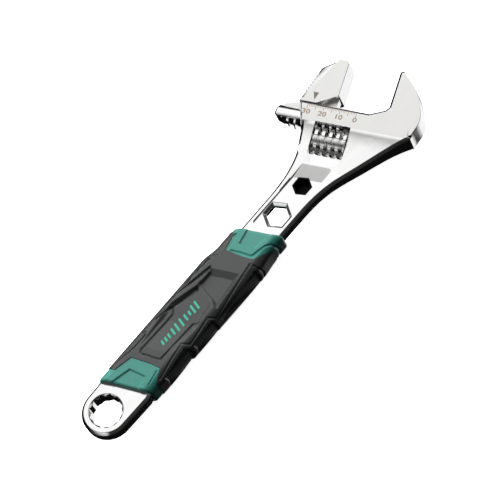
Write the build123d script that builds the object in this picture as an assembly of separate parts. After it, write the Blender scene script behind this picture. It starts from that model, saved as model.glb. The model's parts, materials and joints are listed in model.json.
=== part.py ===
"""Adjustable wrench, 205 mm, with a two-material grip and a 12-point ring end.

Millimetres.  Built with X along the handle from the ring hole towards the head and Z through
the thickness, then moved so that the origin is the bottom centre of the whole tool lying flat.
Head shapes use two more directions in the same plane: "slide", along which the movable jaw
travels towards the fixed jaw, and "reach", from the throat out to the jaw tips.
"""
from build123d import *
from math import atan, ceil, cos, floor, pi, radians, sin, sqrt, tan
import os

# ---- driving dimensions, mm and degrees ----
# the head's own origin, in the middle of the throat: slide and reach are measured from it
head_x = 168.0             # along the handle from the ring centre; it sets the overall length
head_y = 0.35
head_angle = 24.0          # jaw reach direction, turned from the handle
# handle and ring
ring_radius = 11.0
ring_thickness = 7.4
ring_af = 13.0             # 12-point opening, across flats
ring_lead_in = 0.25        # chamfer round the 12-point opening
neck_half_width = 11.3
neck_end = 15.0
shank_half_width = 8.7
shank_start = 23.0
shank_to_head = 52.0       # from the end of the straight shank to the head origin
shank_thickness = 6.6
# shank recess and hexagons
recess_depth = 1.0
recess_rail = 2.5          # width of the rail left beside the recess
recess_to_head = 64.5
recess_gap = 0.9           # ridge between the recess and the worm window
recess_ramp = 6.5          # slope from that ridge down to the recess floor
recess_corner = 1.2
key_hex_to_head = 57.2
key_hex_af = 9.0           # open hexagon
bit_hex_to_head = 40.8
bit_af = 6.45              # 1/4 inch driver bits with clearance
bit_socket_wall = 0.65
bit_socket_floor = 0.8
# sprung ball that holds a bit
ball_radius = 1.2
ball_clearance = 0.05
ball_proud = 0.8
ball_travel = 0.7
ball_spring_length = 2.2
ball_spring_wire = 0.3
# head
channel_wall = 0.85        # steel left beside the rack channel, which sets the head's thickness
strip_height = 8.6         # flat ground strip below the throat
jaw_length = 22.4
fixed_jaw_face = 11.0      # slide value of the fixed jaw face
strip_left = -28.1
# movable jaw
opening_at_rest = 23.0
opening_max = 30.0
closed_gap = 0.1
jaw_seat_gap = 0.15
web_thickness = 4.4
slide_clearance = 0.15
rack_reach = -6.6
rack_radius = 4.6
rack_left = -38.2
rack_right = -6.5
rack_chamfer = 0.9
serration_count = 7
serration_pitch = 1.65
serration_depth = 0.55
bevel_drop = 3.6           # fall of the outer bevel over 12 mm
# worm and rack drive
worm_pitch = 3.3
worm_radius = 6.2
thread_depth_in_rack = 2.6
thread_crest_share = 0.41  # of the pitch
thread_root_share = 0.636
mesh_clearance = 0.25
flute_count = 10
flute_width = 0.8
flute_depth = 0.6
window_left = -18.5
window_right = -2.5
window_bottom = -26.8
window_corner_left = 1.5
window_corner_right = 5.5
worm_end_clearance = 0.2
pin_radius = 1.8
pin_clearance = 0.06
pin_depth_right = 5.5      # how far the pin enters the wall beside the fixed jaw
pin_slot_width = 0.8
pin_slot_depth = 0.9
spring_pocket_radius = 2.8
spring_pocket_depth = 3.2
worm_spring_wire = 0.45
# grip
grip_half_width = 11.8
grip_thickness = 14.8
grip_corner = 4.4
grip_lower_end = 12.4      # where the slanted lower end crosses the handle axis
grip_to_head = 68.4
lower_collar = 12.1
upper_collar = 13.1
grip_slant = 22.0
collar_step = 0.8          # upper collar is narrower than the cover by this much a side
cover_skin = 1.8

# ---- worked-out values ----
turn = radians(head_angle)
slide_dir = Vector(sin(turn), -cos(turn), 0)
reach_dir = Vector(cos(turn), sin(turn), 0)
plan = Plane(origin=(head_x, head_y, 0), x_dir=slide_dir, z_dir=(0, 0, 1))    # local: slide, reach, up
along = Plane(origin=(head_x, head_y, 0), x_dir=reach_dir, z_dir=slide_dir)   # local: reach, up, slide
ring_reach = -(head_x * cos(turn) + head_y * sin(turn))
shank_end = head_x - shank_to_head
recess_start = head_x - recess_to_head
key_hex_x = head_x - key_hex_to_head
bit_hex_x = head_x - bit_hex_to_head
grip_upper_end = head_x - grip_to_head
cover_lower_end = grip_lower_end + lower_collar
cover_upper_end = grip_upper_end - upper_collar
strip_bottom = -strip_height
half_head = rack_radius + slide_clearance + channel_wall
half_shank = shank_thickness / 2
half_ring = ring_thickness / 2
moving_face = fixed_jaw_face - opening_at_rest
travel_closed = opening_at_rest - closed_gap
travel_open = opening_max - opening_at_rest
rack_bottom = rack_reach - rack_radius
worm_reach = rack_bottom + thread_depth_in_rack - worm_radius
worm_root_radius = worm_radius - thread_depth_in_rack - mesh_clearance
thread_crest = thread_crest_share * worm_pitch
thread_root = thread_root_share * worm_pitch
bore_radius = rack_radius + slide_clearance
channel_end = rack_right + travel_closed + 1.0
worm_left = window_left + worm_end_clearance
worm_length = window_right - window_left - 2 * worm_end_clearance
worm_middle = (window_left + window_right) / 2
lead_angle = atan(worm_pitch / (2 * pi * (worm_radius - 1.0)))
bit_socket_af = bit_af + 2 * bit_socket_wall
bit_corner = bit_hex_x - bit_af / sqrt(3)
ball_x = bit_corner + ball_proud - ball_radius
ball_bore_radius = ball_radius + ball_clearance
ball_bore_end = ball_x - ball_radius - ball_spring_length - ball_travel - 0.1


def at(slide, reach):
    """A head point as handle x, y."""
    p = Vector(head_x, head_y) + slide_dir * slide + reach_dir * reach
    return (p.X, p.Y)


def handle_x(reach, y):
    """Where a line of constant reach crosses a given height beside the handle axis."""
    return head_x + (reach - (y - head_y) * sin(turn)) / cos(turn)


def prism(points, low, high):
    """A plan outline in slide, reach values, extruded between two heights."""
    face = make_face(Polyline(*points, close=True))
    return plan * Pos(0, 0, low) * extrude(face, amount=high - low)


def round_bar(radius, reach, start, end):
    """A cylinder along the slide direction."""
    base = (Align.CENTER, Align.CENTER, Align.MIN)
    return along * Pos(reach, 0, start) * Cylinder(radius, end - start, align=base)


def hexagon(af, turn_deg=0):
    """A regular hexagon with corners along X, by its size across flats."""
    return RegularPolygon(af / sqrt(3), 6, rotation=turn_deg)


def body_outline():
    """Plan outline of handle and head, counter-clockwise from the neck."""
    face, heel = fixed_jaw_face, strip_bottom + 0.4
    low = Spline((shank_end, -shank_half_width), (head_x - 35.4, -shank_half_width - 1.6),
                 (head_x - 20.0, -shank_half_width - 7.0), at(face + 13.4, heel),
                 tangents=((1, 0), (0.86, -0.5)))
    nose = Spline(at(face + 13.4, heel), at(face + 15.0, -1.1), at(face + 13.4, 0.32 * jaw_length),
                  at(face + 8.4, 0.7 * jaw_length), at(face + 1.6, jaw_length),
                  tangents=((0.8, 0.6), (0.45, 0.9)))
    throat = Polyline(at(face + 1.6, jaw_length), at(face, jaw_length - 0.7), at(face, 4.8),
                      at(face - 1.3, 3.0), at(face - 7.6, 0), at(strip_left, 0),
                      at(strip_left + 2.7, strip_bottom))
    high = Spline(at(strip_left + 2.7, strip_bottom), at(strip_left + 4.0, strip_bottom - 5.7),
                  (head_x - 31.1, shank_half_width + 3.3), (head_x - 40.8, shank_half_width + 0.8),
                  (shank_end, shank_half_width), tangents=((-0.5, -0.86), (-1, 0)))
    handle = Polyline((shank_end, shank_half_width), (shank_start, shank_half_width),
                      (neck_end, neck_half_width), (0, ring_radius), (0, -ring_radius),
                      (neck_end, -neck_half_width), (shank_start, -shank_half_width),
                      (shank_end, -shank_half_width))
    return make_face([low, nose, throat, high, handle]) + Circle(ring_radius)


def side_profile():
    """Thickness along the reach direction: thin shank swelling into the flat head."""
    far, near = jaw_length + 20, ring_reach - 60
    rise = Spline((strip_bottom - 33, half_shank), (strip_bottom - 13, half_shank + 0.7),
                  (strip_bottom, half_head), tangents=((1, 0.01), (1, 0.32)))
    top = Polyline((strip_bottom, half_head), (far, half_head), (far, 0), (near, 0), (near, half_ring),
                   (ring_reach + 20, half_ring), (ring_reach + 28, half_shank),
                   (strip_bottom - 33, half_shank))
    half = make_face([rise, top])
    return half + mirror(half, about=Plane.XZ)


def blank():
    """Handle and head before anything is cut out."""
    stock = Pos(0, 0, -10) * extrude(body_outline(), amount=20)
    profile = along * Pos(0, 0, -head_x) * extrude(side_profile(), amount=2 * head_x)
    return (stock & profile).solids()[0]


def recess(upper):
    """The sunk panel in one face of the shank, beside both hexagons."""
    side = shank_half_width - recess_rail
    slant = tan(radians(grip_slant)) * side
    edge = window_bottom - recess_gap
    top_low, top_high = (handle_x(edge, -side), -side), (handle_x(edge, side), side)
    start_low, start_high = (recess_start + slant, -side), (recess_start - slant, side)
    face = make_face(Polyline(start_low, top_low, top_high, start_high, close=True))
    face = fillet(face.vertices(), recess_corner)
    floor_level = half_shank - recess_depth
    ridge_level = half_shank + 0.35
    over = half_head + 1
    profile = make_face(Polyline((edge - 60, floor_level), (edge - recess_ramp, floor_level),
                                 (edge, ridge_level), (edge, over), (edge - 60, over), close=True))
    cutter = along * Pos(0, 0, -60) * extrude(profile, amount=120)
    pocket = Pos(0, 0, floor_level) * extrude(face, amount=over - floor_level, taper=-8) & cutter
    return pocket if upper else mirror(pocket, about=Plane.XY)


def worm_window():
    """Opening that the knurl shows through, rounder beside the fixed jaw."""
    top = strip_bottom + 0.4
    face = make_face(Polyline((window_left, window_bottom), (window_right, window_bottom),
                              (window_right, top), (window_left, top), close=True))
    low = face.vertices().group_by(Axis.Y)[0].sort_by(Axis.X)
    face = fillet(low[0], window_corner_left)
    low_right = face.vertices().sort_by(lambda v: v.Y - v.X)[0]
    face = fillet(low_right, window_corner_right)
    return plan * Pos(0, 0, -half_head - 1) * extrude(face, amount=2 * half_head + 2)


def wrench_body():
    """Forged body: ring, shank, head and fixed jaw."""
    body = blank()
    body -= round_bar(bore_radius, rack_reach, strip_left - 20, channel_end)
    slot = web_thickness / 2 + slide_clearance
    body -= prism([(strip_left - 20, rack_reach), (fixed_jaw_face, rack_reach),
                   (fixed_jaw_face, 5), (strip_left - 20, 5)], -slot, slot)
    body -= worm_window()
    body -= round_bar(pin_radius, worm_reach, strip_left - 20, window_right + pin_depth_right)
    star = hexagon(ring_af) + hexagon(ring_af, 30)
    body -= Pos(0, 0, -10) * extrude(star, amount=20)
    rim = ring_af / sqrt(3)
    lead = Cone(rim - 1.0, rim + ring_lead_in, 1.0 + ring_lead_in,
                align=(Align.CENTER, Align.CENTER, Align.MAX))
    body -= Pos(0, 0, half_ring) * lead
    body -= mirror(Pos(0, 0, half_ring) * lead, about=Plane.XY)
    body -= recess(True)
    body -= recess(False)
    body -= Pos(key_hex_x, 0, -10) * extrude(hexagon(key_hex_af), amount=20)
    body -= Pos(bit_hex_x, 0, -10) * extrude(hexagon(bit_socket_af), amount=20)
    body -= Pos(ball_bore_end, 0, 0) * Rot(0, 90, 0) * Cylinder(
        ball_bore_radius, bit_hex_x - ball_bore_end, align=(Align.CENTER, Align.CENTER, Align.MIN))
    return body


def bit_socket():
    """Blackened hexagon cup that takes a driver bit, closed at the back."""
    level = half_shank - recess_depth
    cup = Pos(bit_hex_x, 0, -level) * extrude(hexagon(bit_socket_af), amount=2 * level)
    cup -= Pos(bit_hex_x, 0, bit_socket_floor - level) * extrude(hexagon(bit_af), amount=2 * level)
    bore = Rot(0, 90, 0) * Cylinder(ball_bore_radius, 8, align=(Align.CENTER, Align.CENTER, Align.MIN))
    return cup - Pos(bit_hex_x - 8, 0, 0) * bore


def bit_detent_ball():
    return Pos(ball_x, 0, 0) * Sphere(ball_radius)


def coil(radius, wire, length, turns):
    """A coil spring standing on Z = 0, its wire inside the length."""
    path = Helix(pitch=(length - wire) / turns, height=length - wire, radius=radius)
    ring = Plane(origin=path @ 0, z_dir=path % 0) * Circle(wire / 2)
    return Pos(0, 0, wire / 2) * sweep(ring, path=path, is_frenet=True)


def bit_detent_spring():
    radius = ball_bore_radius - ball_spring_wire / 2 - 0.2
    spring = coil(radius, ball_spring_wire, ball_spring_length, 3)
    return Pos(ball_x - ball_radius - ball_spring_length + 0.25, 0, 0) * Rot(0, 90, 0) * spring


def jaw_plan():
    """Outline of the jaw above the slide walls, slide and reach values."""
    seat = jaw_seat_gap
    f, top = moving_face, jaw_length
    return [(f - 8.8, seat), (f - 0.1, seat + 4.9), (f, seat + 5.2), (f, top - 1.2), (f - 1.0, top - 0.5),
            (f - 4.9, top - 0.5), (f - 6.8, top - 1.4), (f - 11.2, top - 3.9), (f - 12.3, top - 4.9),
            (f - 16.6, seat + 2.2), (f - 17.2, seat)]


def outer_bevel():
    """Wedge that bevels the jaw's outer slope on its front face."""
    start, end = at(moving_face - 5.2, jaw_length - 1.6), at(moving_face - 16.0, 1.2)
    line = (Vector(*end) - Vector(*start)).normalized()
    outward = line.cross(Vector(0, 0, 1)) * -1
    if outward.dot(slide_dir) > 0:
        outward = outward * -1
    wedge_plane = Plane(origin=Vector(*start) - line * 15, x_dir=outward, z_dir=line)
    up = 1 if wedge_plane.y_dir.Z > 0 else -1
    section = make_face(Polyline((0, up * half_head), (12, up * (half_head - bevel_drop)),
                                 (12, up * (half_head + 3)), (0, up * (half_head + 3)), close=True))
    return wedge_plane * extrude(section, amount=(Vector(*end) - Vector(*start)).length + 40)


def movable_jaw():
    """Jaw, web and round rack in one forging."""
    jaw = prism(jaw_plan(), -half_head, half_head)
    bevel = outer_bevel()
    jaw -= bevel
    jaw -= mirror(bevel, about=Plane.XY)
    seat = jaw_seat_gap
    slope_low = Vector(moving_face - 16.6, seat + 2.2)
    slope_high = Vector(moving_face - 12.3, jaw_length - 4.9)
    rise = (slope_high - slope_low).normalized()
    out = Vector(-rise.Y, rise.X)
    for n in range(serration_count):
        base = slope_low + rise * (1.2 + n * serration_pitch)
        tip = base + rise * (serration_pitch * 0.25) - out * serration_depth
        upper = base + rise * (serration_pitch * 0.8)
        first, last = base + out * 0.3, upper + out * 0.3
        notch = [(first.X, first.Y), (tip.X, tip.Y), (last.X, last.Y)]
        jaw -= prism(notch, -half_head - 1, half_head + 1)
    f = moving_face - 0.5
    left = rack_left
    web = prism([(left + 1.4, rack_reach), (f, rack_reach), (f, seat + 4.7), (f - 8.3, seat + 0.3),
                 (f - 16.7, seat + 0.3), (f - 18.5, seat - 0.4), (left + 3.4, seat - 1.2),
                 (left + 1.4, rack_reach + 3.4)], -web_thickness / 2, web_thickness / 2)
    rack = round_bar(rack_radius, rack_reach, rack_left, rack_right)
    rack = chamfer(rack.edges().filter_by(GeomType.CIRCLE), rack_chamfer)
    jaw = jaw + web + rack
    first = floor((rack_left - worm_middle) / worm_pitch)
    last = ceil((rack_right - worm_middle) / worm_pitch)
    for n in range(first, last + 1):
        jaw -= tooth_gap(worm_middle + n * worm_pitch)
    tail = [(left - 3, rack_bottom - 3), (left + 12, rack_bottom - 3), (left + 11, rack_bottom),
            (left - 3, rack_bottom + 4.6)]
    return jaw - prism(tail, -9, 9)


def tooth_gap(slide):
    """Groove across the rack that one turn of the worm thread runs in."""
    low, high = rack_bottom - 1.5, rack_bottom + thread_depth_in_rack + mesh_clearance
    flank = (thread_root - thread_crest) / 2 / (worm_radius - worm_root_radius)
    top = thread_crest / 2 + mesh_clearance
    bottom = top + flank * (high - low)
    face = make_face(Polyline((-bottom, low), (bottom, low), (top, high), (-top, high), close=True))
    lean = tan(lead_angle)
    groove = loft([plan * Pos(slide - 8 * lean, 0, -8) * face, plan * Pos(slide + 8 * lean, 0, 8) * face])
    return groove


def thread_groove():
    """One turn of the gap between threads, a little over a full turn so that turns join."""
    path = Helix(pitch=worm_pitch, height=worm_pitch * 1.02, radius=worm_root_radius)
    flank = (thread_root - thread_crest) / 2 / (worm_radius - worm_root_radius)
    beyond = 0.5
    narrow = (worm_pitch - thread_root) / 2
    wide = (worm_pitch - thread_crest) / 2 + flank * beyond
    gap = make_face(Polyline((worm_root_radius, -narrow), (worm_radius + beyond, -wide),
                             (worm_radius + beyond, wide), (worm_root_radius, narrow), close=True))
    return sweep(Plane.XZ * gap, path=path, is_frenet=True)


def knurl():
    """Worm: threaded knurl with fluted crests, bored for its pin."""
    base = (Align.CENTER, Align.CENTER, Align.MIN)
    worm = Cylinder(worm_radius, worm_length, align=base)
    middle = worm_middle - worm_left
    turns_each_way = int(middle / worm_pitch) + 2
    groove = thread_groove()
    for n in range(-turns_each_way, turns_each_way):
        worm -= Pos(0, 0, middle + (n + 0.5) * worm_pitch) * groove
    worm -= Pos(0, 0, -1) * Cylinder(pin_radius + pin_clearance, worm_length + 2, align=base)
    worm -= Pos(0, 0, worm_length - spring_pocket_depth) * Cylinder(
        spring_pocket_radius, spring_pocket_depth + 1, align=base)
    flute = Box(2 * flute_depth, flute_width, worm_length + 2, align=base)
    for n in range(flute_count):
        worm -= Rot(0, 0, (n + 0.5) * 360 / flute_count) * Pos(worm_radius, 0, -1) * flute
    return along * Pos(worm_reach, 0, worm_left) * worm


def worm_pin():
    """Pin that carries the knurl, with a driver slot in its outer end."""
    outer_end = strip_left + 4.9
    pin = round_bar(pin_radius, worm_reach, outer_end, window_right + pin_depth_right)
    slot = prism([(outer_end - 1, worm_reach - 3), (outer_end + pin_slot_depth, worm_reach - 3),
                  (outer_end + pin_slot_depth, worm_reach + 3), (outer_end - 1, worm_reach + 3)],
                 -pin_slot_width / 2, pin_slot_width / 2)
    return pin - slot


def worm_spring():
    """Friction spring between the knurl and the window wall."""
    radius = (spring_pocket_radius + pin_radius) / 2
    length = spring_pocket_depth + worm_end_clearance - 0.1
    spring = coil(radius, worm_spring_wire, length, 3)
    return along * Pos(worm_reach, 0, window_right - length) * spring


def grip_stock(half_width, thickness, corner):
    """Rounded bar along the handle, longer than the grip."""
    face = Plane.YZ * RectangleRounded(2 * half_width, thickness, corner)
    return Pos(-20, 0, 0) * extrude(face, amount=head_x)


def between(shape, low, high):
    """Keep what lies between two slanted planes across the handle."""
    lean = tan(radians(grip_slant)) * 20
    keep = make_face(Polyline((low - lean, 20), (low + lean, -20), (high + lean, -20),
                              (high - lean, 20), close=True))
    return shape & (Pos(0, 0, -15) * extrude(keep, amount=30))


def grip_parts():
    """Hard collars on a full-length sleeve, and the soft cover moulded over its middle."""
    steel = blank()
    full = grip_stock(grip_half_width, grip_thickness, grip_corner)
    slim = grip_stock(grip_half_width - collar_step, grip_thickness - 2 * collar_step, grip_corner - 0.4)
    sleeve = grip_stock(grip_half_width - cover_skin, grip_thickness - 2 * cover_skin, grip_corner - 1.0)
    lower = between(full, grip_lower_end, cover_lower_end)
    middle = between(sleeve, cover_lower_end, cover_upper_end)
    upper = between(slim, cover_upper_end, grip_upper_end)
    core = (lower + middle + upper) - steel
    cover = between(full, cover_lower_end, cover_upper_end) - grip_stock(
        grip_half_width - cover_skin, grip_thickness - 2 * cover_skin, grip_corner - 1.0)
    return core, cover


def build_all():
    core, cover = grip_parts()
    return {
        "wrench_body": wrench_body(),
        "movable_jaw": movable_jaw(),
        "knurl": knurl(),
        "worm_pin": worm_pin(),
        "worm_spring": worm_spring(),
        "bit_socket": bit_socket(),
        "bit_detent_ball": bit_detent_ball(),
        "bit_detent_spring": bit_detent_spring(),
        "grip_core": core,
        "grip_cover": cover,
    }


nodes = build_all()
boxes = [shape.bounding_box() for shape in nodes.values()]
low = Vector(min(b.min.X for b in boxes), min(b.min.Y for b in boxes), min(b.min.Z for b in boxes))
high = Vector(max(b.max.X for b in boxes), max(b.max.Y for b in boxes), max(b.max.Z for b in boxes))
rest = Vector(-(low.X + high.X) / 2, -(low.Y + high.Y) / 2, -low.Z)

os.makedirs("parts", exist_ok=True)
for name, shape in nodes.items():
    export_step(Pos(*rest) * shape, f"parts/{name}.step")

print("moved by", rest, "overall", high - low)
print("slide direction", slide_dir, "reach direction", reach_dir)
print("knurl axis point", Vector(*at(worm_middle, worm_reach)) + rest)
print("jaw centre", Vector(*at(moving_face - 5, 10)) + rest)
print("travel closed, open", travel_closed, travel_open)
print("radians per metre", 2 * pi / worm_pitch * 1000)
print("ball", Vector(ball_x, 0, 0) + rest, "bit hex", Vector(bit_hex_x, 0, 0) + rest)
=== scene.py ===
import json
import math
import bpy
import bmesh
import numpy as np
from mathutils import Matrix, Vector


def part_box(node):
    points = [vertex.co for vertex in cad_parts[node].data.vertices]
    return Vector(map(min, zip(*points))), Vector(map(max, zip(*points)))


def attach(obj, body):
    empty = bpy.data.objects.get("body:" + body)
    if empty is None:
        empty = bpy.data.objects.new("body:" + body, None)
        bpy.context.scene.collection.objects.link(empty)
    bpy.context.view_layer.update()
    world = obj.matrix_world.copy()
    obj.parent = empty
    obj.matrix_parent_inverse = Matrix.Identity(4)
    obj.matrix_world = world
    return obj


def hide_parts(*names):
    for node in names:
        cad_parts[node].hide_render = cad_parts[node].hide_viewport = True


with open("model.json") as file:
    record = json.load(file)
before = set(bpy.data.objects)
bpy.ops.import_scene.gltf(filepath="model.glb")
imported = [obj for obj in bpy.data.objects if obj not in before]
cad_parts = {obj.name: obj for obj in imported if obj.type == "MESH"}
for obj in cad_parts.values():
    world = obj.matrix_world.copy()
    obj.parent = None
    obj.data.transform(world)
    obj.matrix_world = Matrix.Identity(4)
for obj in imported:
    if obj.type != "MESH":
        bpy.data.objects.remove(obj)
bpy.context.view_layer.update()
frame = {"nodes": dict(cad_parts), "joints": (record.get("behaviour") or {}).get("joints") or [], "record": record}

mm = 0.001
mountPlaces = {m["name"]: Vector(m["pos_m"]) for m in frame["record"]["mounts"]}
ringCentre = mountPlaces["ring_end"]          # middle of the ring hole, at half thickness
jointAxes = {j["name"]: Vector(j["axis"]) for j in frame["joints"]}
slideWay = jointAxes["jaw_slide"].normalized()          # the way the jaw closes
reachWay = Vector((-slideWay.y, slideWay.x, 0))         # from the throat to the jaw tips
openingMiddle = (-0.5, 11.2)                  # the mount jaw_opening, in millimetres of slide and reach
throatCentre = (mountPlaces["jaw_opening"] - slideWay * openingMiddle[0] * mm
                - reachWay * openingMiddle[1] * mm)


def handlePoint(x, y, z=0):
    # millimetres along, across and through the handle, from the ring hole
    return ringCentre + Vector((x, y, z)) * mm


def headPoint(slide, reach, z=0):
    # millimetres along the jaw's slide and out to the jaw tips, from the middle of the throat
    return throatCentre + (slideWay * slide + reachWay * reach + Vector((0, 0, z))) * mm


cameraLook = {
    "azimuth": -19.05, "elevation": 63.0, "roll": -32.0,
    "aim": (92.12, -0.01, 0.0),       # handle point at the middle of the view
    "distance": 1486.0, "lens": 252.0,
}


def makeCamera():
    a, e, r = (math.radians(cameraLook[k]) for k in ("azimuth", "elevation", "roll"))
    back = Vector((math.sin(a) * math.cos(e), -math.cos(a) * math.cos(e), math.sin(e)))
    level = Vector((math.cos(a), math.sin(a), 0))
    right = math.cos(r) * level + math.sin(r) * back.cross(level)
    up = back.cross(right)
    turn = Matrix((right, up, back)).transposed()
    data = bpy.data.cameras.new("viewCamera")
    data.lens = cameraLook["lens"]
    data.sensor_width = 36
    data.clip_end = 20
    camera = bpy.data.objects.new("viewCamera", data)
    bpy.context.scene.collection.objects.link(camera)
    place = handlePoint(*cameraLook["aim"]) + back * cameraLook["distance"] * mm
    camera.matrix_world = Matrix.Translation(place) @ turn.to_4x4()
    bpy.context.scene.camera = camera


def linear(hexColour):
    # sRGB hex to the linear values that a shader takes
    parts = [int(hexColour[i:i + 2], 16) / 255 for i in (1, 3, 5)]
    return tuple(c / 12.92 if c <= 0.04045 else ((c + 0.055) / 1.055) ** 2.4 for c in parts) + (1.0,)


def addNode(tree, kind, settings=None, links=None):
    # one node with its properties, socket values and incoming links
    node = tree.nodes.new(kind)
    for key, value in (settings or {}).items():
        if isinstance(key, str) and hasattr(node, key):
            setattr(node, key, value)
        else:
            node.inputs[key].default_value = value
    for socket, source in (links or {}).items():
        tree.links.new(source, node.inputs[socket])
    return node


def newPiece(name, bm):
    # an object from a finished bmesh, placed by its mesh alone
    mesh = bpy.data.meshes.new(name)
    bm.to_mesh(mesh)
    bm.free()
    piece = bpy.data.objects.new(name, mesh)
    bpy.context.scene.collection.objects.link(piece)
    return piece


def newMaterial(name):
    material = bpy.data.materials.new(name)
    material.use_nodes = True
    material.node_tree.nodes.clear()
    return material, material.node_tree


studioLook = {
    "floorHex": "#f2f2f2", "floorGlow": 0.88, "floorSize": 3.0,
    "glows": [((0.45, 0.60, 0.66), 0.40, 1.10, 1.42),       # direction, its start and full, strength
              ((-0.95, 0.0, 0.31), 0.80, 0.93, 0.9),
              ((0.72, -0.62, 0.30), 0.86, 0.95, 0.8)],
    "horizon": (0.12, 0.42), "skyGrey": 0.03, "lowDark": 0.004,
    "boardAzimuth": 0.0, "boardFade": (0.62, 0.82),
    "boardHeight": (-0.45, -0.65), "boardStrength": 1.05,
    "softboxes": [("topSoftbox", (300, 400, 640), (90, 0, 0), 500, 9),      # place, aim, size and watts
                  ("farSoftbox", (80, 700, 330), (80, 0, 0), 360, 9)],
}


def makeSky():
    # soft glows above the horizon, a pale board low on the right, and a dark room elsewhere
    look = studioLook
    world = bpy.data.worlds.new("studio")
    bpy.context.scene.world = world
    world.use_nodes = True
    tree = world.node_tree
    tree.nodes.clear()
    way = addNode(tree, "ShaderNodeTexCoord").outputs["Generated"]
    split = addNode(tree, "ShaderNodeSeparateXYZ", links={0: way})
    above = addNode(tree, "ShaderNodeMapRange",
                    {"interpolation_type": "SMOOTHSTEP", "From Min": look["horizon"][0],
                     "From Max": look["horizon"][1], "To Min": 0.0, "To Max": 1.0},
                    {"Value": split.outputs["Z"]})
    sky = addNode(tree, "ShaderNodeValue")
    sky.outputs[0].default_value = look["skyGrey"]
    for glowWay, start, full, strength in look["glows"]:
        towards = addNode(tree, "ShaderNodeVectorMath",
                          {"operation": "DOT_PRODUCT", 1: Vector(glowWay).normalized()}, {0: way})
        glow = addNode(tree, "ShaderNodeMapRange",
                       {"interpolation_type": "SMOOTHSTEP", "From Min": start, "From Max": full,
                        "To Min": 0.0, "To Max": strength}, {"Value": towards.outputs["Value"]})
        sky = addNode(tree, "ShaderNodeMath", {"operation": "ADD"},
                      {0: sky.outputs[0], 1: glow.outputs[0]})
    upper = addNode(tree, "ShaderNodeMath", {"operation": "MULTIPLY"},
                    {0: sky.outputs[0], 1: above.outputs[0]})
    level = addNode(tree, "ShaderNodeVectorMath", {"operation": "MULTIPLY", 1: (1, 1, 0)}, {0: way})
    level = addNode(tree, "ShaderNodeVectorMath", {"operation": "NORMALIZE"}, {0: level.outputs[0]})
    azimuth = math.radians(look["boardAzimuth"])
    boardWay = (math.cos(azimuth), math.sin(azimuth), 0)
    board = addNode(tree, "ShaderNodeVectorMath", {"operation": "DOT_PRODUCT", 1: boardWay},
                    {0: level.outputs[0]})
    board = addNode(tree, "ShaderNodeMapRange",
                    {"interpolation_type": "SMOOTHSTEP", "From Min": look["boardFade"][0],
                     "From Max": look["boardFade"][1], "To Min": look["lowDark"],
                     "To Max": look["boardStrength"]}, {"Value": board.outputs["Value"]})
    below = addNode(tree, "ShaderNodeMapRange",
                    {"interpolation_type": "SMOOTHSTEP", "From Min": look["boardHeight"][0],
                     "From Max": look["boardHeight"][1], "To Min": 0.0, "To Max": 1.0},
                    {"Value": split.outputs["Z"]})
    lower = addNode(tree, "ShaderNodeMath", {"operation": "MULTIPLY"},
                    {0: board.outputs[0], 1: below.outputs[0]})
    total = addNode(tree, "ShaderNodeMath", {"operation": "ADD"},
                    {0: upper.outputs[0], 1: lower.outputs[0]})
    air = addNode(tree, "ShaderNodeBackground", {"Color": (1, 1, 1, 1)}, {"Strength": total.outputs[0]})
    addNode(tree, "ShaderNodeOutputWorld", links={"Surface": air.outputs[0]})


def makeFloor():
    bm = bmesh.new()
    bmesh.ops.create_grid(bm, x_segments=1, y_segments=1, size=studioLook["floorSize"])
    floor = newPiece("floor", bm)
    paper, tree = newMaterial("backlitPaper")
    shader = addNode(tree, "ShaderNodeBsdfPrincipled",
                     {"Base Color": linear(studioLook["floorHex"]), "Roughness": 0.9,
                      "Specular IOR Level": 0.1, "Emission Color": (1, 1, 1, 1),
                      "Emission Strength": studioLook["floorGlow"]})
    addNode(tree, "ShaderNodeOutputMaterial", links={"Surface": shader.outputs[0]})
    floor.data.materials.append(paper)
    floor.visible_glossy = False      # polished sides mirror the room, not the paper
    floor.visible_diffuse = False


def makeLights():
    for name, place, aim, size, power in studioLook["softboxes"]:
        data = bpy.data.lights.new(name, "AREA")
        data.shape = "SQUARE"
        data.size = size * mm
        data.energy = power
        light = bpy.data.objects.new(name, data)
        bpy.context.scene.collection.objects.link(light)
        light.location = handlePoint(*place)
        light.rotation_mode = "QUATERNION"
        light.rotation_quaternion = (light.location - handlePoint(*aim)).to_track_quat("Z", "Y")
        light.visible_glossy = False
    bpy.context.scene.view_settings.view_transform = "Standard"


def objectPoints(tree, along=1.0, across=1.0, through=1.0, turn=0.0):
    # object coordinates scaled to pattern repeats per millimetre
    coords = addNode(tree, "ShaderNodeTexCoord").outputs["Object"]
    return addNode(tree, "ShaderNodeMapping",
                   {"Rotation": (0, 0, turn), "Scale": (along / mm, across / mm, through / mm)},
                   {"Vector": coords}).outputs[0]


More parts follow.
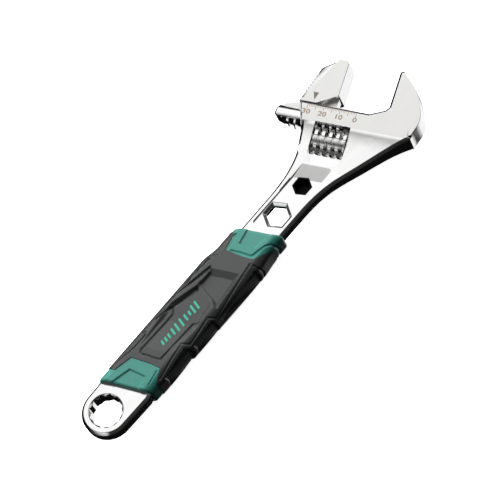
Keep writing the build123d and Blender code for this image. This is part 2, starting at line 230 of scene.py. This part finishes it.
def chromedForging():
    # drop-forged chrome vanadium steel, polished and satin chromed: bright mirror with a faint orange peel
    material, tree = newMaterial("chromedForging")
    peel = addNode(tree, "ShaderNodeTexNoise", {"Scale": 1.0, "Detail": 3.0, "Roughness": 0.5},
                   {"Vector": objectPoints(tree, 0.35, 0.35, 0.35)})
    smears = addNode(tree, "ShaderNodeTexNoise", {"Scale": 1.0, "Detail": 4.0, "Roughness": 0.6},
                     {"Vector": objectPoints(tree, 0.05, 0.4, 0.2)})
    rough = addNode(tree, "ShaderNodeMapRange",
                    {"From Min": 0.3, "From Max": 0.7, "To Min": 0.10, "To Max": 0.19},
                    {"Value": smears.outputs["Fac"]})
    tone = addNode(tree, "ShaderNodeMix",
                   {"data_type": "RGBA", "A": linear("#f4f4f3"), "B": linear("#e6e6e6")},
                   {"Factor": smears.outputs["Fac"]})
    bump = addNode(tree, "ShaderNodeBump", {"Strength": 0.12, "Distance": 0.02 * mm},
                   {"Height": peel.outputs["Fac"]})
    shader = addNode(tree, "ShaderNodeBsdfPrincipled", {"Metallic": 1.0},
                     {"Base Color": tone.outputs["Result"], "Roughness": rough.outputs[0],
                      "Normal": bump.outputs[0]})
    addNode(tree, "ShaderNodeOutputMaterial", links={"Surface": shader.outputs[0]})
    return material


def groundSteel():
    # flats ground on a belt: fine parallel lines along the slide, a duller and more even grey
    material, tree = newMaterial("groundSteel")
    turn = -math.atan2(slideWay.y, slideWay.x)
    lines = addNode(tree, "ShaderNodeTexNoise", {"Scale": 1.0, "Detail": 3.0, "Roughness": 0.7},
                    {"Vector": objectPoints(tree, 0.04, 5.0, 1.0, turn)})
    patches = addNode(tree, "ShaderNodeTexNoise", {"Scale": 1.0, "Detail": 2.0},
                      {"Vector": objectPoints(tree, 0.06, 0.12, 0.1, turn)})
    rough = addNode(tree, "ShaderNodeMapRange",
                    {"From Min": 0.3, "From Max": 0.7, "To Min": 0.34, "To Max": 0.46},
                    {"Value": lines.outputs["Fac"]})
    tone = addNode(tree, "ShaderNodeMix",
                   {"data_type": "RGBA", "A": linear("#ebebe8"), "B": linear("#e4e3e1")},
                   {"Factor": patches.outputs["Fac"]})
    bump = addNode(tree, "ShaderNodeBump", {"Strength": 0.15, "Distance": 0.015 * mm},
                   {"Height": lines.outputs["Fac"]})
    shader = addNode(tree, "ShaderNodeBsdfPrincipled", {"Metallic": 1.0},
                     {"Base Color": tone.outputs["Result"], "Roughness": rough.outputs[0],
                      "Normal": bump.outputs[0]})
    addNode(tree, "ShaderNodeOutputMaterial", links={"Surface": shader.outputs[0]})
    return material


def plainMetal(name, hexColour, low, high, repeats):
    # turned or drawn steel: one tone whose roughness wanders a little
    material, tree = newMaterial(name)
    grain = addNode(tree, "ShaderNodeTexNoise", {"Scale": 1.0, "Detail": 4.0},
                    {"Vector": objectPoints(tree, repeats, repeats, repeats)})
    rough = addNode(tree, "ShaderNodeMapRange",
                    {"From Min": 0.3, "From Max": 0.7, "To Min": low, "To Max": high},
                    {"Value": grain.outputs["Fac"]})
    bump = addNode(tree, "ShaderNodeBump", {"Strength": 0.1, "Distance": 0.02 * mm},
                   {"Height": grain.outputs["Fac"]})
    shader = addNode(tree, "ShaderNodeBsdfPrincipled", {"Metallic": 1.0, "Base Color": linear(hexColour)},
                     {"Roughness": rough.outputs[0], "Normal": bump.outputs[0]})
    addNode(tree, "ShaderNodeOutputMaterial", links={"Surface": shader.outputs[0]})
    return material


def mouldedPlastic(name, lightHex, darkHex, low, high, grain, depth, specular):
    # injection-moulded surface: spark-eroded texture gives a soft sheen broken by fine grain
    material, tree = newMaterial(name)
    texture = addNode(tree, "ShaderNodeTexNoise", {"Scale": 1.0, "Detail": 2.0, "Roughness": 0.6},
                      {"Vector": objectPoints(tree, grain, grain, grain)})
    clouds = addNode(tree, "ShaderNodeTexNoise", {"Scale": 1.0, "Detail": 3.0},
                     {"Vector": objectPoints(tree, 0.09, 0.15, 0.15)})
    tone = addNode(tree, "ShaderNodeMix", {"data_type": "RGBA", "A": linear(darkHex), "B": linear(lightHex)},
                   {"Factor": clouds.outputs["Fac"]})
    rough = addNode(tree, "ShaderNodeMapRange",
                    {"From Min": 0.3, "From Max": 0.7, "To Min": low, "To Max": high},
                    {"Value": clouds.outputs["Fac"]})
    bump = addNode(tree, "ShaderNodeBump", {"Strength": 0.35, "Distance": depth * mm},
                   {"Height": texture.outputs["Fac"]})
    shader = addNode(tree, "ShaderNodeBsdfPrincipled", {"Specular IOR Level": specular},
                     {"Base Color": tone.outputs["Result"], "Roughness": rough.outputs[0],
                      "Normal": bump.outputs[0]})
    addNode(tree, "ShaderNodeOutputMaterial", links={"Surface": shader.outputs[0]})
    return material


steelEdges = {
    "outline": {"wrench_body": 1.25, "movable_jaw": 1.7},      # broad chamfer of the outlines, in mm
    "fine": 0.2,                                         # rounding of every other edge, in mm
    "shortest": 0.3,                                     # corners with a shorter edge than this stay sharp
    "sharp": 28, "smoothUnder": 20, "flatWithin": 0.4,   # degrees: an edge, a smooth join, one flat face
    "mergeBefore": 0.002, "mergeAfter": 0.001,           # points closer than this are joined, in mm
    "broad": 0.8, "upright": 0.35,                       # how far a broad face and an outer side lean
    "flatHeight": 3.0,                                   # outline edges lie further from the middle
    "recess": (96, 142, 7.2),                            # x from, x to and half width of the sunk panel
    "rackReach": -3.0,                                   # the rack's teeth lie below this
    "jawOutward": -0.3,                                  # the jaw's outer sides face further out than this
    "thumbRidges": (-15.9, 0.6),                         # on the jaw, below this slide and above this reach
    "crispJaw": (8.0, -6.0, 0.5),                        # past this slide and reach, outer sides stay crisp
    "rimmedHole": ("key_hexagon", 6.2),                  # this hole's rim has the broad chamfer
    "fineHole": ("bit_holder", 6.2),                     # these holes' rims don't: the bit hexagon,
    "ringHole": 9.5,                                     # the ring,
    "window": (-10.5, -18.0, 13.2),                      # and the window: slide, reach and radius
}


def edgeMiddle(edge):
    return (edge.verts[0].co + edge.verts[1].co) / 2


def onOutline(edge):
    # true for an edge between a broad face and an outer side, away from the holes
    look, faces = steelEdges, edge.link_faces
    leans = [abs(f.normal.z) for f in faces]
    if not (max(leans) > look["broad"] and min(leans) < look["upright"]):
        return False
    middle = edgeMiddle(edge)
    rimmed, radius = look["rimmedHole"]
    if (middle - mountPlaces[rimmed]).to_2d().length < radius * mm:
        return True
    if abs(middle.z - ringCentre.z) < look["flatHeight"] * mm:
        return False
    onHead = middle - throatCentre
    slide, reach, facing = look["crispJaw"]
    if (onHead.dot(slideWay) > slide * mm and onHead.dot(reachWay) > reach * mm
            and max(f.normal.dot(slideWay) for f in faces) > facing):
        return False
    low, high, half = look["recess"]
    onHandle = (middle - ringCentre) / mm
    if low < onHandle.x < high and abs(onHandle.y) < half:
        return False
    hole, holeRadius = look["fineHole"]
    slide, reach, windowRadius = look["window"]
    spots = [(ringCentre, look["ringHole"]), (mountPlaces[hole], holeRadius),
             (headPoint(slide, reach), windowRadius)]
    return all((middle - place).to_2d().length > radius * mm for place, radius in spots)


def onJawSlope(edge):
    # only the jaw's outer side has the broad chamfer; its gripping side and foot stay crisp
    outward = min(f.normal.dot(slideWay) for f in edge.link_faces)
    reach = (edgeMiddle(edge) - throatCentre).dot(reachWay) / mm
    return reach > steelEdges["rackReach"] and outward < steelEdges["jawOutward"]


def onThumbRidges(edge):
    # the small ridges on the jaw's outer side stay sharp
    middle = edgeMiddle(edge) - throatCentre
    slide, reach = steelEdges["thumbRidges"]
    return middle.dot(slideWay) < slide * mm and middle.dot(reachWay) > reach * mm


def sharpEdges(bm):
    limit = math.radians(steelEdges["sharp"])
    return [e for e in bm.edges if len(e.link_faces) == 2 and e.calc_face_angle(0) > limit]


def hasRoom(edge):
    # both ends meet only edges that are long enough to hold a rounding
    shortest = min(near.calc_length() for v in edge.verts for near in v.link_edges)
    return shortest > steelEdges["shortest"] * mm


def bevelEdges(bm, edges, width, segments):
    bmesh.ops.bevel(bm, geom=edges, offset=width * mm, offset_type="OFFSET", segments=segments, profile=0.5,
                    affect="EDGES", clamp_overlap=False, material=-1)


def refine(node, name, body, materials, pick):
    # a merged copy of a CAD piece with its edges chamfered and rounded, so that they catch the light
    look, isJaw = steelEdges, node == "movable_jaw"
    bm = bmesh.new()
    bm.from_mesh(frame["nodes"][node].data)
    bmesh.ops.remove_doubles(bm, verts=bm.verts, dist=look["mergeBefore"] * mm)
    bmesh.ops.dissolve_limit(bm, angle_limit=math.radians(look["flatWithin"]), verts=bm.verts,
                             edges=bm.edges)
    outline = [e for e in sharpEdges(bm) if onOutline(e) and (onJawSlope(e) or not isJaw)]
    bevelEdges(bm, outline, look["outline"][node], 1)
    others = [e for e in sharpEdges(bm) if hasRoom(e) and not (isJaw and onThumbRidges(e))]
    bevelEdges(bm, others, look["fine"], 2)
    bmesh.ops.remove_doubles(bm, verts=bm.verts, dist=look["mergeAfter"] * mm)
    for face in bm.faces:
        face.smooth = True
        face.material_index = pick(face)
    piece = newPiece(name, bm)
    piece.data.set_sharp_from_angle(angle=math.radians(look["smoothUnder"]))
    for material in materials:
        piece.data.materials.append(material)
    weighted = piece.modifiers.new("weightedNormals", "WEIGHTED_NORMAL")
    weighted.keep_sharp = True
    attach(piece, body)
    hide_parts(node)


def setMaterial(node, material):
    mesh = frame["nodes"][node].data
    if len(mesh.materials) == 0:
        mesh.materials.append(material)
    for i in range(len(mesh.materials)):
        mesh.materials[i] = material
    for polygon in mesh.polygons:
        polygon.material_index = 0


def flatPick(lowReach, level=0.995):
    # picks material 1 for level faces of the head above a reach, and 0 elsewhere
    def pick(face):
        reach = (face.calc_center_median() - throatCentre).dot(reachWay) / mm
        return 1 if abs(face.normal.z) > level and reach > lowReach else 0
    return pick


makeCamera()
makeSky()
makeFloor()
makeLights()
print("camera and studio made")

chrome = chromedForging()
ground = groundSteel()
turned = plainMetal("platedTurnedSteel", "#ececeb", 0.20, 0.30, 0.6)         # satin, brighter than the body
# the bit socket's near-black colour is partly its oxide and partly painted shade for the dark inside of the bit
# hole
oxideAndShadeBlack = plainMetal("oxideAndShadeBlackSteel", "#141416", 0.35, 0.5, 1.5)          # oxide black, nearly dull, and also painted shade: this black stands in for the shade inside the bit hole
drawn = plainMetal("drawnSpringSteel", "#9a9ca0", 0.25, 0.35, 2.0)           # grey wire with a soft shine
ballSteel = plainMetal("hardenedBallSteel", "#f6f6f6", 0.30, 0.38, 0.5)      # pale and even
teal = mouldedPlastic("mouldedTealNylon", "#2b6a5f", "#245f56", 0.30, 0.40, 2.2, 0.02, 0.6)
rubber = mouldedPlastic("mouldedSoftRubber", "#2c2d2d", "#222323", 0.36, 0.46, 1.8, 0.03, 0.8)

# bit_socket takes the black that is partly oxide and partly painted shade
for node, material in (("knurl", turned), ("worm_pin", turned), ("worm_spring", drawn),
                       ("bit_socket", oxideAndShadeBlack), ("bit_detent_ball", ballSteel),
                       ("bit_detent_spring", drawn)):
    setMaterial(node, material)
refine("wrench_body", "forgedBody", "body", (chrome, ground), flatPick(-8.7))
refine("movable_jaw", "forgedJaw", "jaw", (chrome, ground), flatPick(-4))
print("steel pieces made")

# two-shot grip, in millimetres along and across the handle from the ring hole
gripShape = {
    "halfWidth": 11.8, "halfThickness": 7.4, "corner": 4.4,
    "lowEnd": 12.4, "highEnd": 99.6, "slant": 22.0, "endRound": 1.3,
    "stations": 330, "around": 220,
    "sideLean": (0.17, 0.48),        # how far features slide along and across per mm down a side wall
    "collarSink": 0.35,              # collars sit this much below the cover
    "waists": [(1.5, 75, 84, 1), (1.1, 86, 97, -1)],      # narrowing, x from, x to, and on which side
    "lineReach": 1.3,                # a moulded line ends this many half widths from its middle
    "creaseAngle": 38, "blockReach": 20, "mergeWithin": 0.001,
}

# where the soft cover lies; the hard collars take the rest
coverOutline = [(15.0, 30), (14.6, 10.6), (15.6, 7.8), (24.0, 5.7), (26.9, -2.8), (28.0, -7.7),
                (21.6, -10.8), (23.4, -14.0), (23.4, -30), (98.2, -30), (98.2, -14.0), (97.2, -10.9),
                (88.9, -7.7), (87.7, -5.8), (86.4, -1.7), (84.7, 5.5), (91.5, 7.1), (92.6, 6.6), (92.2, 30)]

# convex areas pressed in from the skin: corners, depth, and the width of the wall along each side
coverPlateaus = [
    {"corners": [(30, 6.0), (36, -7.5), (50, -8.7), (68.4, -5.7), (70.5, 3.0), (64.0, 5.0), (52.0, 8.4)],
     "sink": 1.0, "walls": [14, 3.0, 2.0, 1.8, 0.8, 0.8, 1.2]},
    {"corners": [(65.0, 4.6), (62.0, -10.0), (79.9, -7.3), (74.9, 4.2)],
     "sink": 1.6, "walls": [2.0, 1.9, 2.6, 0.8]},
]
coverPockets = [
    {"corners": [(75.8, 5.8), (74.0, 4.1), (57.0, 9.2), (57.2, 9.5)],
     "sink": 0.95, "walls": [0.5, 0.4, 0.3, 0.4]},
    {"corners": [(65.5, 4.3), (63.7, 2.6), (50.2, 7.0), (50.4, 7.5)],
     "sink": 0.95, "walls": [0.5, 0.4, 0.3, 0.4]},
    {"corners": [(84.9, -11.4), (60.0, -15.0), (60.0, -19), (84.9, -19)],
     "sink": 0.9, "walls": [0.5, 0.5, 1, 0.5]},
    {"corners": [(57.1, -11.2), (43.6, -13.4), (43.6, -19), (57.1, -19)],
     "sink": 0.8, "walls": [0.5, 0.5, 1, 0.5]},
    {"corners": [(40.8, -10.1), (25.4, -12.9), (25.4, -19), (43.2, -19)],
     "sink": 0.9, "walls": [0.5, 0.5, 1, 0.5]},
    {"corners": [(84.9, 19), (60.0, 19), (60.0, 15.0), (84.9, 11.6)],
     "sink": 0.9, "walls": [1, 0.5, 0.5, 0.5]},
    {"corners": [(57.1, 19), (25.4, 19), (25.4, 14.0), (57.1, 12.2)],
     "sink": 0.8, "walls": [1, 0.5, 0.5, 0.5]},
]
# moulded lines: points, half width at the start and end, depth
coverLines = [
    ([(27.8, 3.7), (28.8, 4.4), (49.2, 4.4), (51.6, 6.4)], 0.38, 0.38, 0.5),
    ([(28.0, 2.4), (30.9, -5.4), (51.0, -5.7), (53.2, -7.6)], 0.34, 0.38, 0.45),
    ([(17.0, 10.4), (22.0, 8.8), (28.0, 7.6), (35.2, 7.5)], 0.3, 0.4, 0.4),
    ([(34.7, 10.6), (36.4, 8.2)], 0.4, 0.25, 0.35),
    ([(42.8, 9.0), (51.0, 7.2)], 0.25, 0.5, 0.6),
    ([(52.0, 10.0), (66.0, 9.5), (77.7, 8.6)], 0.2, 0.42, 0.5),
    ([(78.6, 10.4), (80.8, 7.2)], 0.4, 0.25, 0.3),
    ([(86.0, -7.9), (78.0, -9.2), (66.0, -11.6), (59.5, -12.6)], 0.45, 0.35, 0.5),
    ([(24.0, -11.4), (34.0, -9.2), (41.6, -7.8), (43.4, -11.5), (50.0, -10.6), (57.0, -9.3), (58.8, -12.8)],
     0.4, 0.4, 0.5),
    ([(86.4, -9.4), (87.0, -19)], 0.4, 0.5, 0.5),
]
collarPockets = [
    {"corners": [(3, 7.6), (0, -10.4), (21.5, -5.1), (19.9, 2.9)],
     "sink": 0.6, "walls": [1, 0.5, 0.5, 0.45]},
    {"corners": [(90.2, 3.1), (92.5, -4.7), (108, -8.1), (108, 7.3)],
     "sink": 0.6, "walls": [0.5, 0.5, 1, 0.45]},
]
collarLines = [
    ([(25.9, -7.5), (19.4, -8.9)], 0.35, 0.3, 0.4),
    ([(85.9, 3.8), (89.2, -6.0), (96.0, -8.3), (98.3, -10.6), (98.9, -19)], 0.45, 0.6, 0.5),
    ([(91.6, 12.0), (92.9, 7.2)], 0.4, 0.3, 0.4),
]


def pressed(area, x, y):
    # depth of one convex area at each point, full inside its sloping walls
    corners, total = area["corners"], None
    turning = sum(a[0] * b[1] - a[1] * b[0] for a, b in zip(corners, corners[1:] + corners[:1]))
    for (ax, ay), (bx, by), wall in zip(corners, corners[1:] + corners[:1], area["walls"]):
        length = math.hypot(bx - ax, by - ay)
        inside = ((bx - ax) * (y - ay) - (by - ay) * (x - ax)) / length * math.copysign(1, turning)
        total = inside / wall if total is None else np.minimum(total, inside / wall)
    return area["sink"] * np.clip(total, 0, 1)


def scored(points, startHalf, endHalf, sink, x, y):
    # depth of a moulded line at each point, deepest along its middle
    depth = np.zeros_like(x)
    runs = [math.dist(a, b) for a, b in zip(points, points[1:])]
    done = 0
    for (ax, ay), (bx, by), run in zip(points, points[1:], runs):
        t = np.clip(((x - ax) * (bx - ax) + (y - ay) * (by - ay)) / run ** 2, 0, 1)
        away = np.hypot(x - ax - t * (bx - ax), y - ay - t * (by - ay))
        half = startHalf + (endHalf - startHalf) * (done + t * run) / sum(runs)
        depth = np.maximum(depth, sink * np.clip(gripShape["lineReach"] - away / half, 0, 1))
        done += run
    return depth


def smoothRise(value, low, high):
    t = np.clip((value - low) / (high - low), 0, 1)
    return t * t * (3 - 2 * t)


def barSection(way):
    # points and normals round a rounded bar, from one side over the front and back again behind
    g = gripShape
    flat, upright, r = g["halfWidth"] - g["corner"], g["halfThickness"] - g["corner"], g["corner"]
    arc = math.pi / 2 * r
    quarter = upright + arc + flat                         # from a side's middle to the front's middle
    s = way * 4 * quarter
    part = np.where(s < 2 * quarter, s, 4 * quarter - s)
    faceWay = np.where(s < 2 * quarter, 1.0, -1.0)
    near = np.minimum(part, 2 * quarter - part)
    sideWay = np.where(part < quarter, 1.0, -1.0)
    angle = np.clip((near - upright) / r, 0, math.pi / 2)
    y = sideWay * (flat + r * np.cos(angle) - np.clip(near - upright - arc, 0, None))
    z = faceWay * (np.minimum(near, upright) + r * np.sin(angle))
    return y, z, sideWay * np.cos(angle), faceWay * np.sin(angle), sideWay


def gripShell(name, plateaus, pockets, lines, extraSink):
    # a fine grid wrapped round the handle as a rounded bar, then pressed in where the moulding is lower
    g = gripShape
    bm = bmesh.new()
    bmesh.ops.create_grid(bm, x_segments=g["stations"], y_segments=g["around"], size=0.5)
    mesh = bpy.data.meshes.new("grid")
    bm.to_mesh(mesh)
    bm.free()
    co = np.empty(len(mesh.vertices) * 3, np.float32)
    mesh.vertices.foreach_get("co", co)
    co = co.reshape(-1, 3).astype(float)
    y, z, normalY, normalZ, sideWay = barSection(co[:, 1] + 0.5)
    fromLow = (co[:, 0] + 0.5) * (g["highEnd"] - g["lowEnd"])
    x = g["lowEnd"] + fromLow - y * math.tan(math.radians(g["slant"]))
    down = g["halfThickness"] - np.abs(z)
    planX = x + g["sideLean"][0] * sideWay * down
    planY = y + g["sideLean"][1] * sideWay * down
    depth = np.zeros_like(x) + extraSink
    for area in plateaus:
        depth = np.maximum(depth, pressed(area, planX, planY))
    for area in pockets:
        depth += pressed(area, planX, planY)
    for line in lines:
        depth += scored(*line, planX, planY)
    fromEnd = np.minimum(fromLow, g["highEnd"] - g["lowEnd"] - fromLow)
    short = np.clip(1 - fromEnd / g["endRound"], 0, 1)
    depth += g["endRound"] * (1 - np.sqrt(1 - short ** 2))
    waist = sum(most * smoothRise(x, low, high) * (sideWay == side) for most, low, high, side in g["waists"])
    waist *= np.abs(y) / g["halfWidth"]
    co[:, 0] = x
    co[:, 1] = y - normalY * depth - sideWay * waist
    co[:, 2] = z - normalZ * depth
    co = co * mm + np.array(ringCentre)
    mesh.vertices.foreach_set("co", co.astype(np.float32).ravel())
    bm = bmesh.new()
    bm.from_mesh(mesh)
    bpy.data.meshes.remove(mesh)
    bmesh.ops.remove_doubles(bm, verts=bm.verts, dist=g["mergeWithin"] * mm)
    bmesh.ops.holes_fill(bm, edges=[e for e in bm.edges if e.is_boundary], sides=0)
    bmesh.ops.recalc_face_normals(bm, faces=bm.faces)
    return newPiece(name, bm)


def raised(corners, height):
    # an upright solid over a plan outline
    bm = bmesh.new()
    face = bm.faces.new([bm.verts.new(corner) for corner in corners])
    grown = bmesh.ops.extrude_face_region(bm, geom=[face])
    tops = [v for v in grown["geom"] if isinstance(v, bmesh.types.BMVert)]
    bmesh.ops.translate(bm, verts=tops, vec=(0, 0, height))
    bmesh.ops.recalc_face_normals(bm, faces=bm.faces)
    return bm


def trim(piece, block, operation):
    # cut a piece with a block and keep the result as its mesh
    cut = piece.modifiers.new("cut", "BOOLEAN")
    cut.operation = operation
    cut.object = block
    cut.solver = "MANIFOLD"
    bpy.context.view_layer.update()
    result = bpy.data.meshes.new_from_object(piece.evaluated_get(bpy.context.evaluated_depsgraph_get()))
    piece.modifiers.clear()
    piece.data = result
    result.shade_smooth()
    result.set_sharp_from_angle(angle=math.radians(gripShape["creaseAngle"]))


def makeGrip():
    reach = gripShape["blockReach"]
    corners = [handlePoint(x, y, -reach) for x, y in coverOutline]
    block = newPiece("coverBlock", raised(corners, 2 * reach * mm))
    cover = gripShell("gripCover", coverPlateaus, coverPockets, coverLines, 0)
    trim(cover, block, "INTERSECT")
    collars = gripShell("gripCollars", [], collarPockets, collarLines, gripShape["collarSink"])
    trim(collars, block, "DIFFERENCE")
    bpy.data.objects.remove(block)
    for piece, material, node, slotName in ((cover, rubber, "grip_cover", "grip_rubber"),
                                            (collars, teal, "grip_core", "teal_plastic")):
        piece.data.materials.clear()
        piece.data.materials.append(material)
        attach(piece, "body")
        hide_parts(node)


makeGrip()
print("grip made")

scaleLook = {
    "lineWidth": 0.22, "proud": 0.02, "inkHex": "#5e4e3e", "darkInkHex": "#1e1511",
    "curveSteps": 3, "weld": 0.001,
    "zero": -1.8, "unit": 0.743, "units": 30,            # slide of the zero line, and millimetres a unit
    "longEvery": 5, "numbers": (0, 10, 20, 30),
    "top": -0.9, "short": 1.1, "long": 2.3,              # reach of the ticks' upper ends, and their lengths
    "numberSize": 3.055, "numberStretch": 1.25, "numberReach": -4.6, "inkSpread": 0.09,
    "pointer": [(-23.4, 4.9), (-20.9, 4.9), (-22.1, 1.3)],
}


def laidFlat(bm, slide, reach, height):
    # a flat drawing in millimetres, x along the slide and y along the reach, placed on the head
    turn = Matrix((slideWay, reachWay, Vector((0, 0, 1)))).transposed().to_4x4()
    bmesh.ops.transform(bm, matrix=Matrix.Translation(headPoint(slide, reach, height)) @ turn
                        @ Matrix.Scale(mm, 4), verts=bm.verts)


def etching(name, parts, ink, body):
    # one thin piece for a group of marks that were laid in place
    bm = bmesh.new()
    for part in parts:
        mesh = bpy.data.meshes.new("part")
        part.to_mesh(mesh)
        part.free()
        bm.from_mesh(mesh)
        bpy.data.meshes.remove(mesh)
    bmesh.ops.recalc_face_normals(bm, faces=bm.faces)
    piece = newPiece(name, bm)
    piece.data.materials.append(ink)
    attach(piece, body)


def thinBar(top, width, length, thickness):
    # a thin bar that hangs down from its upper end, in millimetres
    bm = bmesh.new()
    bmesh.ops.create_cube(bm, size=1)
    bmesh.ops.scale(bm, vec=(width, length, thickness), verts=bm.verts)
    bmesh.ops.translate(bm, vec=(0, top - length / 2, 0), verts=bm.verts)
    return bm


def numberMark(text):
    # generic scale number as a thin solid
    curve = bpy.data.curves.new("number", "FONT")
    curve.body = text
    curve.size = scaleLook["numberSize"]
    curve.extrude = scaleLook["proud"]
    curve.offset = scaleLook["inkSpread"]
    curve.align_x, curve.align_y = "CENTER", "CENTER"
    curve.resolution_u = scaleLook["curveSteps"]
    holder = bpy.data.objects.new("number", curve)
    mesh = bpy.data.meshes.new_from_object(holder)
    bm = bmesh.new()
    bm.from_mesh(mesh)
    bpy.data.objects.remove(holder)
    bpy.data.curves.remove(curve)
    bpy.data.meshes.remove(mesh)
    bmesh.ops.remove_doubles(bm, verts=bm.verts, dist=scaleLook["weld"])
    bmesh.ops.scale(bm, vec=(scaleLook["numberStretch"], 1, 1), verts=bm.verts)
    return bm


def inkMaterial(name, hexColour):
    # oxide burnt in by electro-etching: matt brown, thin and uneven, so the steel shows through in specks
    material, tree = newMaterial(name)
    specks = addNode(tree, "ShaderNodeTexNoise", {"Scale": 1.0, "Detail": 3.0},
                     {"Vector": objectPoints(tree, 3.0, 3.0, 3.0)})
    tone = addNode(tree, "ShaderNodeMapRange",
                   {"From Min": 0.35, "From Max": 0.65, "To Min": 0.0, "To Max": 0.35},
                   {"Value": specks.outputs["Fac"]})
    colour = addNode(tree, "ShaderNodeMix",
                     {"data_type": "RGBA", "A": linear(hexColour), "B": linear("#b9b3a8")},
                     {"Factor": tone.outputs[0]})
    shader = addNode(tree, "ShaderNodeBsdfPrincipled", {"Roughness": 0.6},
                     {"Base Color": colour.outputs["Result"]})
    addNode(tree, "ShaderNodeOutputMaterial", links={"Surface": shader.outputs[0]})
    return material


def makeScale():
    look = scaleLook
    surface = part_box("movable_jaw")[1].z / mm - ringCentre.z / mm
    parts = []
    for n in range(look["units"] + 1):
        length = look["long"] if n % look["longEvery"] == 0 else look["short"]
        bar = thinBar(0, look["lineWidth"], length, 2 * look["proud"])
        laidFlat(bar, look["zero"] - n * look["unit"], look["top"], surface)
        parts.append(bar)
    for value in look["numbers"]:
        number = numberMark(str(value))
        laidFlat(number, look["zero"] - value * look["unit"], look["numberReach"], surface)
        parts.append(number)
    etching("scaleMarks", parts, inkMaterial("etchedScaleInk", look["inkHex"]), "body")
    pointer = raised([(x, y, -look["proud"]) for x, y in look["pointer"]], 2 * look["proud"])
    laidFlat(pointer, 0, 0, surface)
    etching("pointerMark", [pointer], inkMaterial("darkPointerInk", look["darkInkHex"]), "jaw")


gripMarkLook = {
    "across": -1.1, "height": 4.0,
    "bars": [(37.0, 0.55), (39.0, 0.55), (41.0, 0.55), (43.5, 0.8), (46.0, 1.0), (48.8, 1.0), (51.6, 0.8),
             (54.0, 0.55), (56.2, 1.0), (58.6, 1.0)],       # place along the handle, and height as a share
    "thick": 1.0, "deep": 0.5, "sunk": 0.1, "slant": 0.25,
}


def markDepth(x, y):
    # how far the cover's skin is pressed in where a mark sits
    spot = (np.array([float(x)]), np.array([float(y)]))
    return max(float(pressed(area, *spot)[0]) for area in coverPlateaus)


def makeGripMarks():
    # a plain row of slanted bars moulded in the collar's colour
    look = gripMarkLook
    front = gripShape["halfThickness"]
    slanted = Matrix(((1, look["slant"], 0, 0), (0, 1, 0, 0), (0, 0, 1, 0), (0, 0, 0, 1)))
    parts = []
    for x, share in look["bars"]:
        tall = look["height"] * share
        bar = thinBar(tall / 2, look["thick"], tall, look["deep"])
        bmesh.ops.transform(bar, matrix=slanted, verts=bar.verts)
        place = handlePoint(x, look["across"], front - markDepth(x, look["across"]) - look["sunk"])
        bmesh.ops.transform(bar, matrix=Matrix.Translation(place) @ Matrix.Scale(mm, 4), verts=bar.verts)
        parts.append(bar)
    ink = mouldedPlastic("mouldedTealMark", "#2f8c78", "#297d6b", 0.35, 0.5, 2.2, 0.02, 0.5)
    etching("gripMarks", parts, ink, "body")


makeScale()
makeGripMarks()
print("marks made")
